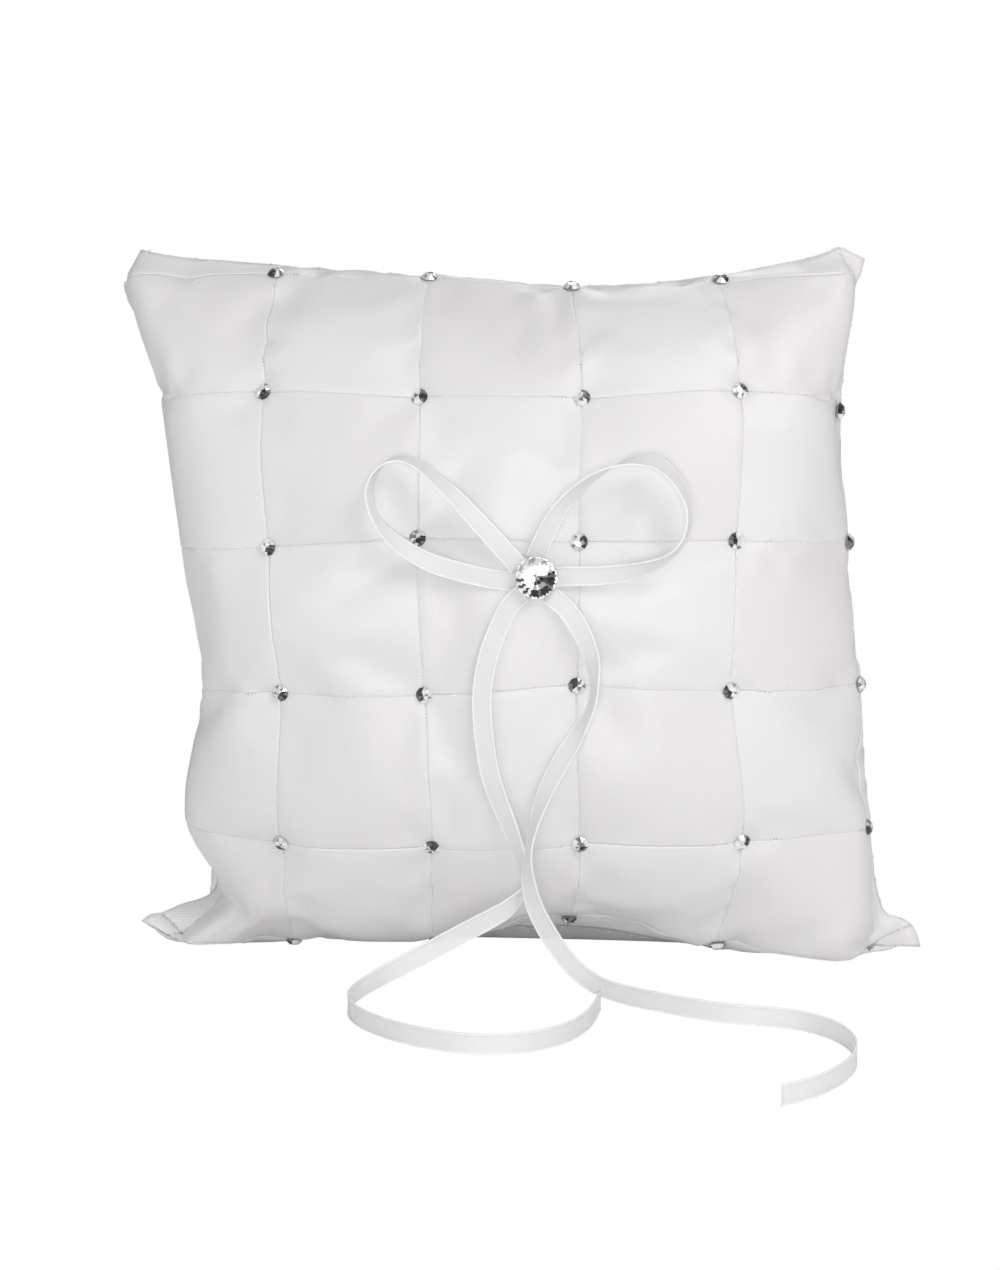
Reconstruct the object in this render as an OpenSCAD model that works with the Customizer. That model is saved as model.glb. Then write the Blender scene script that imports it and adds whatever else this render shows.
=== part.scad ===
// Ring bearer pillow standing on one side. The front is a basket weave of wide
// satin ribbons with a small crystal at every crossing, and a narrow ribbon bow
// is held under one large crystal. X points right, Y back and Z up.

/* [Wide ribbons] */
// Width of one wide ribbon
ribbon_width = 37.3; // [30:0.1:45]
// Gap between two ribbons that lie side by side
ribbon_gap = 0.8; // [0.5:0.1:1.5]
// Thickness of a wide ribbon
ribbon_thickness = 0.3; // [0.2:0.05:0.4]
// Part of each outermost ribbon that shows inside the seam
edge_strip = 6.35; // [5:0.05:20]

/* [Cushion] */
// How far the front stands out from the seam
front_bulge = 38; // [28:1:50]
// How far the back stands out from the seam
back_bulge = 46.8; // [34:0.1:58]
// How far the middle of each side is drawn in
side_pull = 17; // [12:0.5:21]
// How far each corner is drawn in
corner_pull = 5; // [2:0.5:8]
// Height of the lower seam's middle above the surface the cushion stands on
seam_height = 4.9; // [4:0.1:6]
// How far the surface presses in the sagging lower back
back_press = 1.5; // [1:0.1:2]
// Thickness of the lining and of the back fabric
cloth_thickness = 0.3; // [0.2:0.05:0.4]
// Clear space between two layers of cloth
layer_clearance = 0.1; // [0.08:0.01:0.2]

/* [Crystals] */
// Diameter of the small crystals
stone_diameter = 3.9; // [3:0.1:5]
// Height of the small crystals
stone_height = 1.3; // [1:0.1:2]
// Diameter of the large crystal
crystal_diameter = 10; // [8:0.1:13]
// Height of the large crystal with its foil
crystal_height = 3.8; // [3.2:0.1:6]

/* [Bow] */
// Width of the narrow ribbon
bow_ribbon_width = 5; // [4:0.1:6]
// Thickness of the narrow ribbon's solid
bow_ribbon_thickness = 0.6; // [0.4:0.1:0.8]
// Diameter of the stitched middle of the bow
tack_diameter = 6; // [5:0.1:7.5]
// Height of the stitched middle of the bow
tack_height = 2.4; // [2:0.1:3]
// Sideways place of the bow from the cushion's centre
bow_x = 12; // [6:1:14]
// Place of the bow above the cushion's centre
bow_z = 11.5; // [6:0.5:14]

/* [Stitches] */
// Diameter of the sewing thread
thread_diameter = 0.3; // [0.2:0.05:0.5]
// Distance from one seam stitch to the next
stitch_pitch = 6; // [4:0.5:12]
// Length of the hand-sewn opening in the lower side
closing_length = 80; // [50:5:85]

/* [Hidden] */

// The weave: seven ribbons each way, the outer two partly in the seam
ribbon_count = 7;
middle = (ribbon_count - 1) / 2;
pitch = ribbon_width + ribbon_gap;
half = (ribbon_count - 2) * pitch / 2 + edge_strip;
// Grid cells across each ribbon, finer where the cushion curves most
cuts = [1, 4, 2, 2, 2, 4, 1];

// Side and face curves of the cushion, for places from -1 to 1 across it
side_power = 5;
corner_power = 2.4;
swell_power = 2.8;
sag_start = 0.55;
sag_place = 0.75;
probe = 0.001;
stand_height = half - side_pull + seam_height;

// Layers, measured outwards from the filling
lining_lift = layer_clearance;
under_lift = lining_lift + cloth_thickness + layer_clearance;
over_lift = under_lift + ribbon_thickness + layer_clearance;
stack = over_lift + ribbon_thickness;
trim_start = 0.8;
trim_height = stack + 0.3;

satin = [0.93, 0.93, 0.94];
satin_cross = [0.97, 0.96, 0.96];
glass = [0.8, 0.84, 0.88];
silver = [0.6, 0.61, 0.63];

function side_curve(a, b) = let (s = abs(a), t = pow(abs(b), corner_power))
    sign(a) * (half * s - side_pull * pow(s, side_power) * (1 - t) - corner_pull * s * t);
function swell(t) = 1 - pow(abs(t), swell_power);
function sag_shape(v) = let (t = max(0, (-v - sag_start) / (1 - sag_start))) 16 * pow(t * (1 - t), 2);
back_sag = (stand_height + side_curve(-sag_place, 0) + back_press) / sag_shape(-sag_place);
function sag(u, v) = back_sag * sag_shape(v) * (1 - pow(u, 4));

// The cloth over the lower corners stops just above the resting plane
function trim_share(u) = let (t = pow(abs(u), corner_power))
    let (low = half - side_pull * (1 - t) - corner_pull * t)
    let (slope = half - side_power * side_pull * (1 - t) - corner_pull * t)
    min(1, 1 - (low - (stand_height - trim_height)) / slope);
function trimmed(u, v) = v > -trim_start ? v
    : -trim_start + (v + trim_start) * (trim_share(u) - trim_start) / (1 - trim_start);

function face(u, v, bulge, droop) =
    [side_curve(u, v), bulge * swell(u) * swell(v), stand_height + side_curve(v, u) - droop * sag(u, v)];
function front(u, v) = face(u, trimmed(u, v), -front_bulge, 0);
function back(u, v) = face(u, trimmed(u, v), back_bulge, 1);
function unit(a) = a / norm(a);
function front_normal(u, v) = unit(cross(front(u + probe, v) - front(u - probe, v),
    front(u, v + probe) - front(u, v - probe)));
function back_normal(u, v) = -unit(cross(back(u + probe, v) - back(u - probe, v),
    back(u, v + probe) - back(u, v - probe)));
function front_over(u, v, lift) = front(u, v) + lift * front_normal(u, v);
function above(p, floor_z) = [p[0], p[1], max(p[2], floor_z)];
function back_over(u, v, lift, floor_z) = above(back(u, v) + lift * back_normal(u, v), floor_z);

// Grid lines: the cut lines of every ribbon and the gaps between them
function strip_low(i) = i == 0 ? -half : (i - middle) * pitch - ribbon_width / 2;
function strip_high(i) = i == ribbon_count - 1 ? half : (i - middle) * pitch + ribbon_width / 2;
function strip_marks(i) = [for (k = [0:cuts[i]])
    (strip_low(i) + (strip_high(i) - strip_low(i)) * k / cuts[i]) / half];
marks = [for (i = [0:ribbon_count - 1]) each strip_marks(i)];
strip_of = [for (i = [0:ribbon_count - 1]) for (k = [0:cuts[i]]) i];
line_count = len(marks);

// Closed slab between an outer and an inner grid of points
module slab(outer, inner, rows, cols, flip = false) {
    shift = rows * cols;
    shell = [for (i = [0:rows - 2]) for (j = [0:cols - 2]) let (a = i * cols + j)
        each [[a, a + 1, a + cols + 1], [a, a + cols + 1, a + cols],
            [a + shift, a + cols + 1 + shift, a + 1 + shift],
            [a + shift, a + cols + shift, a + cols + 1 + shift]]];
    ends = [for (j = [0:cols - 2]) let (b = (rows - 1) * cols + j)
        each [[j, j + shift, j + 1 + shift], [j, j + 1 + shift, j + 1],
            [b, b + 1 + shift, b + shift], [b, b + 1, b + 1 + shift]]];
    sides = [for (i = [0:rows - 2]) let (a = i * cols, b = i * cols + cols - 1)
        each [[a, a + cols + shift, a + shift], [a, a + cols, a + cols + shift],
            [b, b + shift, b + cols + shift], [b, b + cols + shift, b + cols]]];
    faces = concat(shell, ends, sides);
    polyhedron(concat(outer, inner), flip ? [for (f = faces) [f[2], f[1], f[0]]] : faces);
}

// Polyester filling, pressed flat where it stands; its first row of points is the tip of the lower corners
module filling() {
    seam_half = 0.05;
    back_floor = cloth_thickness + 0.3;
    tips = [for (u = marks) face(u, -1, 0, 0) - [0, 0, 2 * seam_half]];
    front_grid = concat([for (p = tips) p - [0, seam_half, 0]],
        [for (v = marks) for (u = marks) front(u, v) - [0, seam_half, 0]]);
    back_grid = concat([for (p = tips) p + [0, seam_half, 0]],
        [for (v = marks) for (u = marks) above(back(u, v) + [0, seam_half, 0], back_floor)]);
    color("white") difference() {
        slab(front_grid, back_grid, line_count + 1, line_count);
        translate([-half, -front_bulge, -half]) cube([2 * half, front_bulge + back_bulge, half]);
    }
}

// Lining that carries the weave
module front_lining() {
    color(satin) slab(
        [for (v = marks) for (u = marks) front_over(u, v, lining_lift + cloth_thickness)],
        [for (v = marks) for (u = marks) front_over(u, v, lining_lift)],
        line_count, line_count);
}

// Plain back, which lies on the surface where the filling sags
module back_panel() {
    color(satin) slab(
        [for (v = marks) for (u = marks) back_over(u, v, lining_lift + cloth_thickness, 0)],
        [for (v = marks) for (u = marks) back_over(u, v, lining_lift, cloth_thickness)],
        line_count, line_count, flip = true);
}

// One ribbon of the weave; it is on top where the sum of its strips is odd (upright) or even (cross)
function lift_at(own, crossed, odd) = (own + crossed) % 2 == odd ? over_lift : under_lift;
module wide_ribbon(own, upright) {
    across = strip_marks(own);
    odd = upright ? 1 : 0;
    function at(k, w, extra) = let (lift = lift_at(own, strip_of[k], odd) + extra)
        upright ? front_over(w, marks[k], lift) : front_over(marks[k], w, lift);
    slab([for (k = [0:line_count - 1]) for (w = across) at(k, w, ribbon_thickness)],
        [for (k = [0:line_count - 1]) for (w = across) at(k, w, 0)],
        line_count, len(across), flip = !upright);
}
module ribbon_upright(own) {
    color(satin) wide_ribbon(own, true);
}
module ribbon_cross(own) {
    color(satin_cross) wide_ribbon(own, false);
}

// Turns a piece so that its Z axis points along a direction
module facing(direction) {
    rotate([0, acos(direction[2]), atan2(direction[1], direction[0])]) children();
}

// Small flat-backed crystals at the crossings of the ribbon edges
module crystal_row(row) {
    v = (middle + 0.5 - row) * pitch / half;
    girdle = stone_diameter / 2;
    color(glass) for (i = [1:ribbon_count - 1]) {
        u = (i - middle - 0.5) * pitch / half;
        translate(front_over(u, v, stack + layer_clearance)) facing(front_normal(u, v))
            rotate_extrude($fn = 32) polygon([[0, 0], [girdle * 0.9, 0], [girdle, stone_height * 0.35],
                [girdle * 0.55, stone_height], [0, stone_height]]);
    }
}

// A stitch across the seam, from front to back
module stitch(at, length) {
    translate(at + [0, length / 2, 0]) rotate([90, 0, 0])
        cylinder(d = thread_diameter, h = length, $fn = 16);
}
stitch_offset = stack + thread_diameter / 2 + layer_clearance;
stitch_length = 1.6;
stitch_count = floor(half * 0.9 / stitch_pitch);

// Machine seam along the top and both sides
module seam_stitches() {
    color("white") for (k = [-stitch_count:stitch_count]) {
        t = k * stitch_pitch / half;
        stitch(face(t, 1, 0, 0) + [0, 0, stitch_offset], stitch_length);
        if (t > -trim_start) {
            stitch(face(1, t, 0, 0) + [stitch_offset, 0, 0], stitch_length);
            stitch(face(-1, t, 0, 0) - [stitch_offset, 0, 0], stitch_length);
        }
    }
}

// Hand stitches that close the lower side after filling
module closing_stitches() {
    closing_pitch = stitch_pitch / 2;
    closing_count = floor(closing_length / 2 / closing_pitch);
    color("white") for (k = [-closing_count:closing_count])
        stitch(face(k * closing_pitch / half, -1, 0, 0) - [0, 0, stitch_offset], stitch_length);
}

// The bow's own frame: its middle on the weave, with Y straight back
bow_u = bow_x / half;
bow_v = bow_z / half;
bow_base = front(bow_u, bow_v) - [0, stack + 3 * layer_clearance, 0];
bow_front = bow_base - [0, tack_height, 0];

// Stitched middle of the bow, under the large crystal
module bow_tack() {
    color("white") translate(bow_base) rotate([90, 0, 0])
        cylinder(d = tack_diameter, h = tack_height, $fn = 48);
}

// Foil cup behind the large crystal
foil_thickness = 0.2;
cup_depth = 1.6;
cup_base = 0.64;
module crystal_foil() {
    outer = crystal_diameter / 2;
    inner = outer * cup_base;
    color(silver) translate(bow_front - [0, layer_clearance, 0]) rotate([90, 0, 0])
        rotate_extrude($fn = 64) polygon([[0, 0], [inner, 0], [outer, cup_depth],
            [outer - foil_thickness, cup_depth], [inner - foil_thickness / 2, foil_thickness], [0, foil_thickness]]);
}

// Large crystal, with its pavilion in the cup and a flat table in front
module centre_crystal() {
    outer = crystal_diameter / 2;
    inner = outer * cup_base - foil_thickness;
    base = foil_thickness + layer_clearance / 2;
    color(glass) translate(bow_front - [0, layer_clearance, 0]) rotate([90, 0, 0])
        rotate_extrude($fn = 64) polygon([[0, base], [inner, base],
            [outer - foil_thickness - layer_clearance, cup_depth + layer_clearance],
            [outer, cup_depth + 2 * layer_clearance], [outer, cup_depth + 0.5],
            [outer * 0.62, crystal_height], [0, crystal_height]]);
}

// Narrow ribbon swept along a route: each row is a point and the way the ribbon's width lies
function spot(row) = [row[0], row[1], row[2]];
function lay(row) = [row[3], row[4], row[5]];
ring_sides = 8;
module narrow_ribbon(route) {
    n = len(route);
    places = [for (k = [0:n - 1]) let (
        along = unit(spot(route[min(k + 1, n - 1)]) - spot(route[max(k - 1, 0)])),
        wide = unit(lay(route[k]) - (lay(route[k]) * along) * along),
        thick = cross(along, wide))
        each [for (a = [0:ring_sides - 1]) let (turn = (a + 0.5) * 360 / ring_sides)
            spot(route[k]) + wide * bow_ribbon_width / 2 * cos(turn) / cos(180 / ring_sides)
                + thick * bow_ribbon_thickness / 2 * sin(turn) / cos(180 / ring_sides)]];
    walls = [for (k = [0:n - 2]) for (a = [0:ring_sides - 1])
        let (b = (a + 1) % ring_sides, p = k * ring_sides, q = p + ring_sides)
        each [[p + a, p + b, q + b], [p + a, q + b, q + a]]];
    last = (n - 1) * ring_sides;
    ends = [for (a = [1:ring_sides - 2]) each [[0, a + 1, a], [last, last + a, last + a + 1]]];
    polyhedron(places, [for (f = concat(walls, ends)) [f[2], f[1], f[0]]]);
}

// Loop routes, measured from the tack's front face
loop_left = [
    [-4.2, 0.6, 2.2, 0.8, 0, 0.6], [-6.5, 0, 5, 0.75, 0.2, 0.6], [-10, -1, 9, 0.7, 0.3, 0.6],
    [-14.5, -2, 14, 0.6, 0.5, 0.6], [-19, -2.5, 19, 0.5, 0.7, 0.5], [-23.5, -2.5, 23, 0.3, 0.9, 0.4],
    [-28.5, -2, 27, 0.1, 1, 0.3], [-33.5, -1.5, 28.5, 0, 1, 0.2], [-38, -1.5, 26, 0.2, 1, 0],
    [-40.5, -1.5, 21, 0.3, 1, 0], [-39.5, -1, 15, 0.4, 0.9, 0.1], [-36, -0.5, 10, 0.3, 0.8, 0.4],
    [-31, 0, 6, 0.2, 0.6, 0.7], [-25, 0.2, 3, 0.1, 0.4, 0.9], [-18, 0.6, 1, 0, 0.3, 1],
    [-11, 1.3, -0.5, 0, 0.2, 1], [-3.8, 1.7, -1.2, 0, 0, 1]];
loop_right = [
    [-0.6, 1.2, 4.2, 0.9, 0, 0.2], [1, 0, 8, 0.9, 0.3, -0.4], [4, -1.5, 14, 0.8, 0.5, -0.4],
    [8, -2.5, 19.5, 0.5, 0.8, -0.4], [13, -3, 24, 0.3, 1, -0.3], [18.5, -3, 27, 0.1, 1, 0],
    [24, -2.5, 28.5, 0, 0.9, 0.4], [29.5, -2, 27.5, 0.1, 0.8, 0.6], [34, -2.5, 23, 0.3, 0.9, 0.3],
    [36.5, -3, 17, 0.2, 1, 0], [36, -3, 11, 0.2, 1, 0], [33, -2.5, 6.5, 0.2, 0.95, -0.15],
    [28, -1.5, 3.5, 0.1, 0.75, -0.5], [22, -0.5, 1.5, 0, 0.45, -0.85], [15, 0.4, 0.5, 0, 0.2, -1],
    [8.5, 0.9, 0.3, 0, 0, -1], [3.8, 1.2, 0, 0, 0, -1]];
module bow_loop(route) {
    narrow_ribbon([for (r = route) concat(spot(r) + bow_front, lay(r))]);
}
module bow_loop_left() {
    color("white") bow_loop(loop_left);
}
module bow_loop_right() {
    color("white") bow_loop(loop_right);
}

// Tail routes, down the front and then on edge along the surface
tail_left = [
    [9, -41.5, 97.5, 0.9, 0.1, -0.3], [5.5, -42, 94, 0.9, 0.1, -0.3], [2.5, -42, 88, 1, 0.1, 0],
    [0, -42, 80.5, 1, 0, 0], [-1.2, -41.5, 73, 1, 0, 0], [-1.2, -41, 66, 1, 0, 0], [-0.5, -40.5, 59, 1, 0, 0],
    [0.5, -39.5, 52.5, 1, 0, 0], [2.5, -38.5, 46, 1, -0.2, 0], [5, -38, 39.5, 0.9, -0.4, 0],
    [7.3, -38, 33.5, 0.7, -0.7, 0.1], [8.8, -38.5, 28, 0.35, -0.9, 0.25], [8.3, -40, 23.5, -0.05, -0.8, 0.55],
    [5, -42, 20, -0.35, -0.4, 0.85], [0, -43, 17, -0.3, -0.1, 1], [-6, -43.5, 13.8, -0.3, 0, 1],
    [-12, -44, 10.5, -0.3, 0, 1], [-18, -45, 7.3, -0.3, 0, 1], [-24, -48, 4.5, -0.1, 0, 1],
    [-28, -54, 3, 0, 0, 1], [-30, -62, 2.6, 0, 0, 1], [-30, -71, 2.6, 0, 0, 1], [-27.5, -80, 2.6, 0, 0, 1],
    [-23, -88, 2.6, 0, 0, 1], [-16, -96, 2.6, 0, 0, 1], [-8, -102, 2.6, 0, 0, 1], [1, -106, 2.6, 0, 0, 1],
    [10, -106, 2.6, 0, 0, 1], [17.5, -102, 2.6, 0, 0, 1], [23.5, -94, 2.6, 0, 0, 1],
    [27, -84, 2.6, 0, 0, 1], [28.5, -73, 2.6, 0, 0, 1], [29, -62, 2.6, 0, 0, 1]];
tail_right = [
    [15, -41.5, 97, 0.7, 0.1, 0.7], [19.5, -42, 93, 0.8, 0, 0.6], [23, -42, 87.5, 0.9, -0.2, 0.4],
    [25.3, -42, 81.5, 0.8, -0.5, 0], [26, -42, 75.5, 0.5, -0.9, 0], [25, -42, 69, 0.5, -0.8, 0.3],
    [21.5, -42, 62.5, 0.8, -0.4, 0.4], [17.5, -41.5, 55.5, 0.9, -0.3, 0.2], [14, -41.5, 48.5, 0.8, -0.5, 0.1],
    [11.5, -42.5, 41, 0.5, -0.8, 0], [10.2, -43.5, 34, 0.4, -0.9, 0], [10.3, -44, 27, 0.7, -0.6, 0],
    [12, -44, 20.5, 0.9, -0.3, 0], [15, -43.5, 14.5, 0.9, -0.2, 0.3], [18.5, -44, 9.5, 0.7, -0.2, 0.6],
    [22.5, -45.5, 5.5, 0.4, -0.1, 0.8], [27, -48.5, 3.2, 0.1, 0, 1], [32, -53.5, 2.6, 0, 0, 1],
    [38, -59, 2.6, 0, 0, 1], [45, -64, 2.6, 0, 0, 1], [52.5, -69, 2.6, 0, 0, 1], [60.5, -72.5, 2.6, 0, 0, 1],
    [69, -74.5, 2.6, 0, 0, 1], [77, -78, 2.6, 0, 0, 1], [83.5, -85, 2.6, 0, 0, 1], [87.5, -94.5, 2.6, 0, 0, 1],
    [89, -105, 2.6, 0, 0, 1], [88, -115.5, 2.6, 0, 0, 1], [85, -125.5, 2.6, 0, 0, 1],
    [80, -135, 2.6, 0, 0, 1], [73, -143, 2.6, 0, 0, 1]];
module bow_tail_left() {
    color("white") narrow_ribbon(tail_left);
}
module bow_tail_right() {
    color("white") narrow_ribbon(tail_right);
}

filling();
front_lining();
back_panel();
ribbon_upright(0);  // ribbon_upright_1
ribbon_upright(1);  // ribbon_upright_2
ribbon_upright(2);  // ribbon_upright_3
ribbon_upright(3);  // ribbon_upright_4
ribbon_upright(4);  // ribbon_upright_5
ribbon_upright(5);  // ribbon_upright_6
ribbon_upright(6);  // ribbon_upright_7
ribbon_cross(6);  // ribbon_cross_1
ribbon_cross(5);  // ribbon_cross_2
ribbon_cross(4);  // ribbon_cross_3
ribbon_cross(3);  // ribbon_cross_4
ribbon_cross(2);  // ribbon_cross_5
ribbon_cross(1);  // ribbon_cross_6
ribbon_cross(0);  // ribbon_cross_7
seam_stitches();
closing_stitches();
crystal_row(1);  // crystal_row_1
crystal_row(2);  // crystal_row_2
crystal_row(3);  // crystal_row_3
crystal_row(4);  // crystal_row_4
crystal_row(5);  // crystal_row_5
crystal_row(6);  // crystal_row_6
bow_tack();
bow_loop_left();
bow_loop_right();
bow_tail_left();
bow_tail_right();
crystal_foil();
centre_crystal();
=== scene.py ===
# Ring bearer pillow: woven satin ribbon front, crystals, narrow ribbon bow.
# Metres, X right, Y back, Z up, standing on the floor at Z = 0.
import math
import random

import bmesh
import bpy
import numpy as np
from mathutils import Matrix, Vector


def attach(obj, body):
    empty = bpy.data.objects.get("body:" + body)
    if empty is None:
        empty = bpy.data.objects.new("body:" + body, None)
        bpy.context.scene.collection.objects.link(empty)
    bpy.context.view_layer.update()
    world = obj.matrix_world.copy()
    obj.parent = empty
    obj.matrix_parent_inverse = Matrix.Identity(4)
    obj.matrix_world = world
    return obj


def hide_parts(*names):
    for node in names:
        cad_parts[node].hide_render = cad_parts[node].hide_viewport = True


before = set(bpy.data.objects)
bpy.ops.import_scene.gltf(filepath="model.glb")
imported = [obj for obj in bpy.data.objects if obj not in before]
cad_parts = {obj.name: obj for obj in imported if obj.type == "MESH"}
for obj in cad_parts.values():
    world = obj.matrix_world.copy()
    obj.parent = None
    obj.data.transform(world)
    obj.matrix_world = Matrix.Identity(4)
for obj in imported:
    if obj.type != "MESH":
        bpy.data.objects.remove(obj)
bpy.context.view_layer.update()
random.seed(11)
print("frame loaded")


# Camera, light and floor

camera = {
    "place": (0.0792, -0.8077, 0.1834),
    "target": (-0.0010, 0.0, 0.0817),
    "lens": 91.3,
}

studio = {
    "keyPlace": (0.62, -0.72, 0.86), "keySize": 0.55, "keyPower": 4.9, "keyColour": (1.0, 0.975, 0.955),
    "fillPlace": (-0.95, -0.70, 0.35), "fillSize": 0.9, "fillPower": 1.8, "fillColour": (0.96, 0.98, 1.0),
    "rimPlace": (0.25, 0.75, 0.80), "rimSize": 0.6, "rimPower": 3.0,
    "bouncePlace": (0.05, -0.95, 0.15), "bounceSize": 0.28, "bouncePower": 2.3,
    "surround": 0.35,
    "floorSize": 6.0,
}


def aimAt(obj, target):
    direction = Vector(target) - obj.location
    obj.rotation_euler = direction.to_track_quat("-Z", "Y").to_euler()


camData = bpy.data.cameras.new("camera")
camData.lens = camera["lens"]
camData.sensor_width = 36
camData.clip_start = 0.01
camData.clip_end = 20
camObject = bpy.data.objects.new("camera", camData)
bpy.context.scene.collection.objects.link(camObject)
camObject.location = camera["place"]
aimAt(camObject, camera["target"])
bpy.context.scene.camera = camObject


def addSoftbox(name, place, size, power, colour, target=(0, 0, 0.09)):
    lampData = bpy.data.lights.new(name, "AREA")
    lampData.shape = "SQUARE"
    lampData.size = size
    lampData.energy = power
    lampData.color = colour
    lamp = bpy.data.objects.new(name, lampData)
    bpy.context.scene.collection.objects.link(lamp)
    lamp.location = place
    aimAt(lamp, target)
    return lamp


addSoftbox("key", studio["keyPlace"], studio["keySize"], studio["keyPower"], studio["keyColour"])
addSoftbox("fill", studio["fillPlace"], studio["fillSize"], studio["fillPower"], studio["fillColour"])
addSoftbox("rim", studio["rimPlace"], studio["rimSize"], studio["rimPower"], (1, 1, 1))
addSoftbox("bounce", studio["bouncePlace"], studio["bounceSize"], studio["bouncePower"], (1, 1, 1), (0.02, 0, 0.02))

world = bpy.data.worlds.new("studio")
bpy.context.scene.world = world
world.use_nodes = True
sky = world.node_tree
sky.nodes.clear()
skyOut = sky.nodes.new("ShaderNodeOutputWorld")
skyMix = sky.nodes.new("ShaderNodeMixShader")
skyPath = sky.nodes.new("ShaderNodeLightPath")
skyDim = sky.nodes.new("ShaderNodeBackground")
skyDim.inputs["Strength"].default_value = studio["surround"]
skyWhite = sky.nodes.new("ShaderNodeBackground")
skyWhite.inputs["Strength"].default_value = 1.0
skyWhite.inputs["Color"].default_value = (1, 1, 1, 1)
skyDim.inputs["Color"].default_value = (1, 0.995, 0.99, 1)
sky.links.new(skyPath.outputs["Is Camera Ray"], skyMix.inputs["Fac"])
sky.links.new(skyDim.outputs[0], skyMix.inputs[1])
sky.links.new(skyWhite.outputs[0], skyMix.inputs[2])
sky.links.new(skyMix.outputs[0], skyOut.inputs["Surface"])

bpy.context.scene.view_settings.view_transform = "Standard"
bpy.context.scene.view_settings.look = "None"
print("camera and light ready")


# Material tools

def startMaterial(name):
    material = bpy.data.materials.new(name)
    material.use_nodes = True
    tree = material.node_tree
    tree.nodes.clear()
    out = tree.nodes.new("ShaderNodeOutputMaterial")
    shader = tree.nodes.new("ShaderNodeBsdfPrincipled")
    tree.links.new(shader.outputs[0], out.inputs["Surface"])
    return material, tree, shader


def setSockets(node, values):
    for key, value in values.items():
        node.inputs[key].default_value = value


def addMath(tree, operation, first, second=None):
    node = tree.nodes.new("ShaderNodeMath")
    node.operation = operation
    for k, value in enumerate((first, second)):
        if value is None:
            continue
        if isinstance(value, (int, float)):
            node.inputs[k].default_value = value
        else:
            tree.links.new(value, node.inputs[k])
    return node.outputs[0]


def addBlend(tree, factor, low, high):
    node = tree.nodes.new("ShaderNodeMix")
    node.data_type = "RGBA"
    tree.links.new(factor, node.inputs["Factor"])
    for socket, value in ((6, low), (7, high)):
        if isinstance(value, tuple):
            node.inputs[socket].default_value = value
        else:
            tree.links.new(value, node.inputs[socket])
    return node.outputs[2]


def addBump(tree, height, strength, distance, below=None):
    node = tree.nodes.new("ShaderNodeBump")
    node.inputs["Strength"].default_value = strength
    node.inputs["Distance"].default_value = distance
    tree.links.new(height, node.inputs["Height"])
    if below is not None:
        tree.links.new(below, node.inputs["Normal"])
    return node.outputs[0]


def clothUv(tree, mapName, turn=0.0, scale=(1, 1, 1)):
    source = tree.nodes.new("ShaderNodeUVMap")
    source.uv_map = mapName
    mapping = tree.nodes.new("ShaderNodeMapping")
    mapping.inputs["Rotation"].default_value = (0, 0, turn)
    mapping.inputs["Scale"].default_value = scale
    tree.links.new(source.outputs[0], mapping.inputs["Vector"])
    split = tree.nodes.new("ShaderNodeSeparateXYZ")
    tree.links.new(mapping.outputs[0], split.inputs[0])
    return split.outputs["X"], split.outputs["Y"]


def objectNoise(tree, scale, detail=2.0, stretch=(1, 1, 1)):
    place = tree.nodes.new("ShaderNodeTexCoord")
    mapping = tree.nodes.new("ShaderNodeMapping")
    mapping.inputs["Scale"].default_value = stretch
    noise = tree.nodes.new("ShaderNodeTexNoise")
    setSockets(noise, {"Scale": scale, "Detail": detail, "Roughness": 0.5})
    tree.links.new(place.outputs["Object"], mapping.inputs["Vector"])
    tree.links.new(mapping.outputs[0], noise.inputs["Vector"])
    return noise.outputs[0]


# Satin: warp floats in diagonal steps, so the pattern leans the other way on a ribbon turned by 90 degrees
satinLook = {
    "stepPitch": 0.00066, "rowPitch": 0.00050, "lean": math.radians(38),
    "roughness": 0.39, "anisotropic": 0.65, "sheen": 0.12,
}


def makeSatin(name, tone, shade, lean=1.0):
    material, tree, shader = startMaterial(name)
    x, y = clothUv(tree, "cloth", turn=lean * satinLook["lean"])
    steps = addMath(tree, "SINE", addMath(tree, "MULTIPLY", x, 2 * math.pi / satinLook["stepPitch"]))
    rows = addMath(tree, "SINE", addMath(tree, "MULTIPLY", y, 2 * math.pi / satinLook["rowPitch"]))
    weave = addMath(tree, "ADD", addMath(tree, "MULTIPLY", steps, 0.20), addMath(tree, "MULTIPLY", rows, 0.22))
    weave = addMath(tree, "ADD", weave, 0.5)
    cloudy = objectNoise(tree, 9.0, 3.0)
    base = addBlend(tree, cloudy, shade, tone)
    colour = tree.nodes.new("ShaderNodeMix")
    colour.data_type = "RGBA"
    colour.blend_type = "MULTIPLY"
    colour.inputs[0].default_value = 1.0
    tree.links.new(base, colour.inputs[6])
    tree.links.new(addBlend(tree, weave, (0.80, 0.80, 0.81, 1), (1.0, 1.0, 1.0, 1)), colour.inputs[7])
    tree.links.new(colour.outputs[2], shader.inputs["Base Color"])
    tree.links.new(addBump(tree, weave, 0.35, 0.00006), shader.inputs["Normal"])
    tangent = tree.nodes.new("ShaderNodeTangent")
    tangent.direction_type = "UV_MAP"
    tangent.uv_map = "cloth"
    tree.links.new(tangent.outputs[0], shader.inputs["Tangent"])
    setSockets(shader, {
        "Roughness": satinLook["roughness"], "Anisotropic": satinLook["anisotropic"],
        "Sheen Weight": satinLook["sheen"], "Sheen Roughness": 0.4, "Specular IOR Level": 0.5,
    })
    return material


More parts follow.
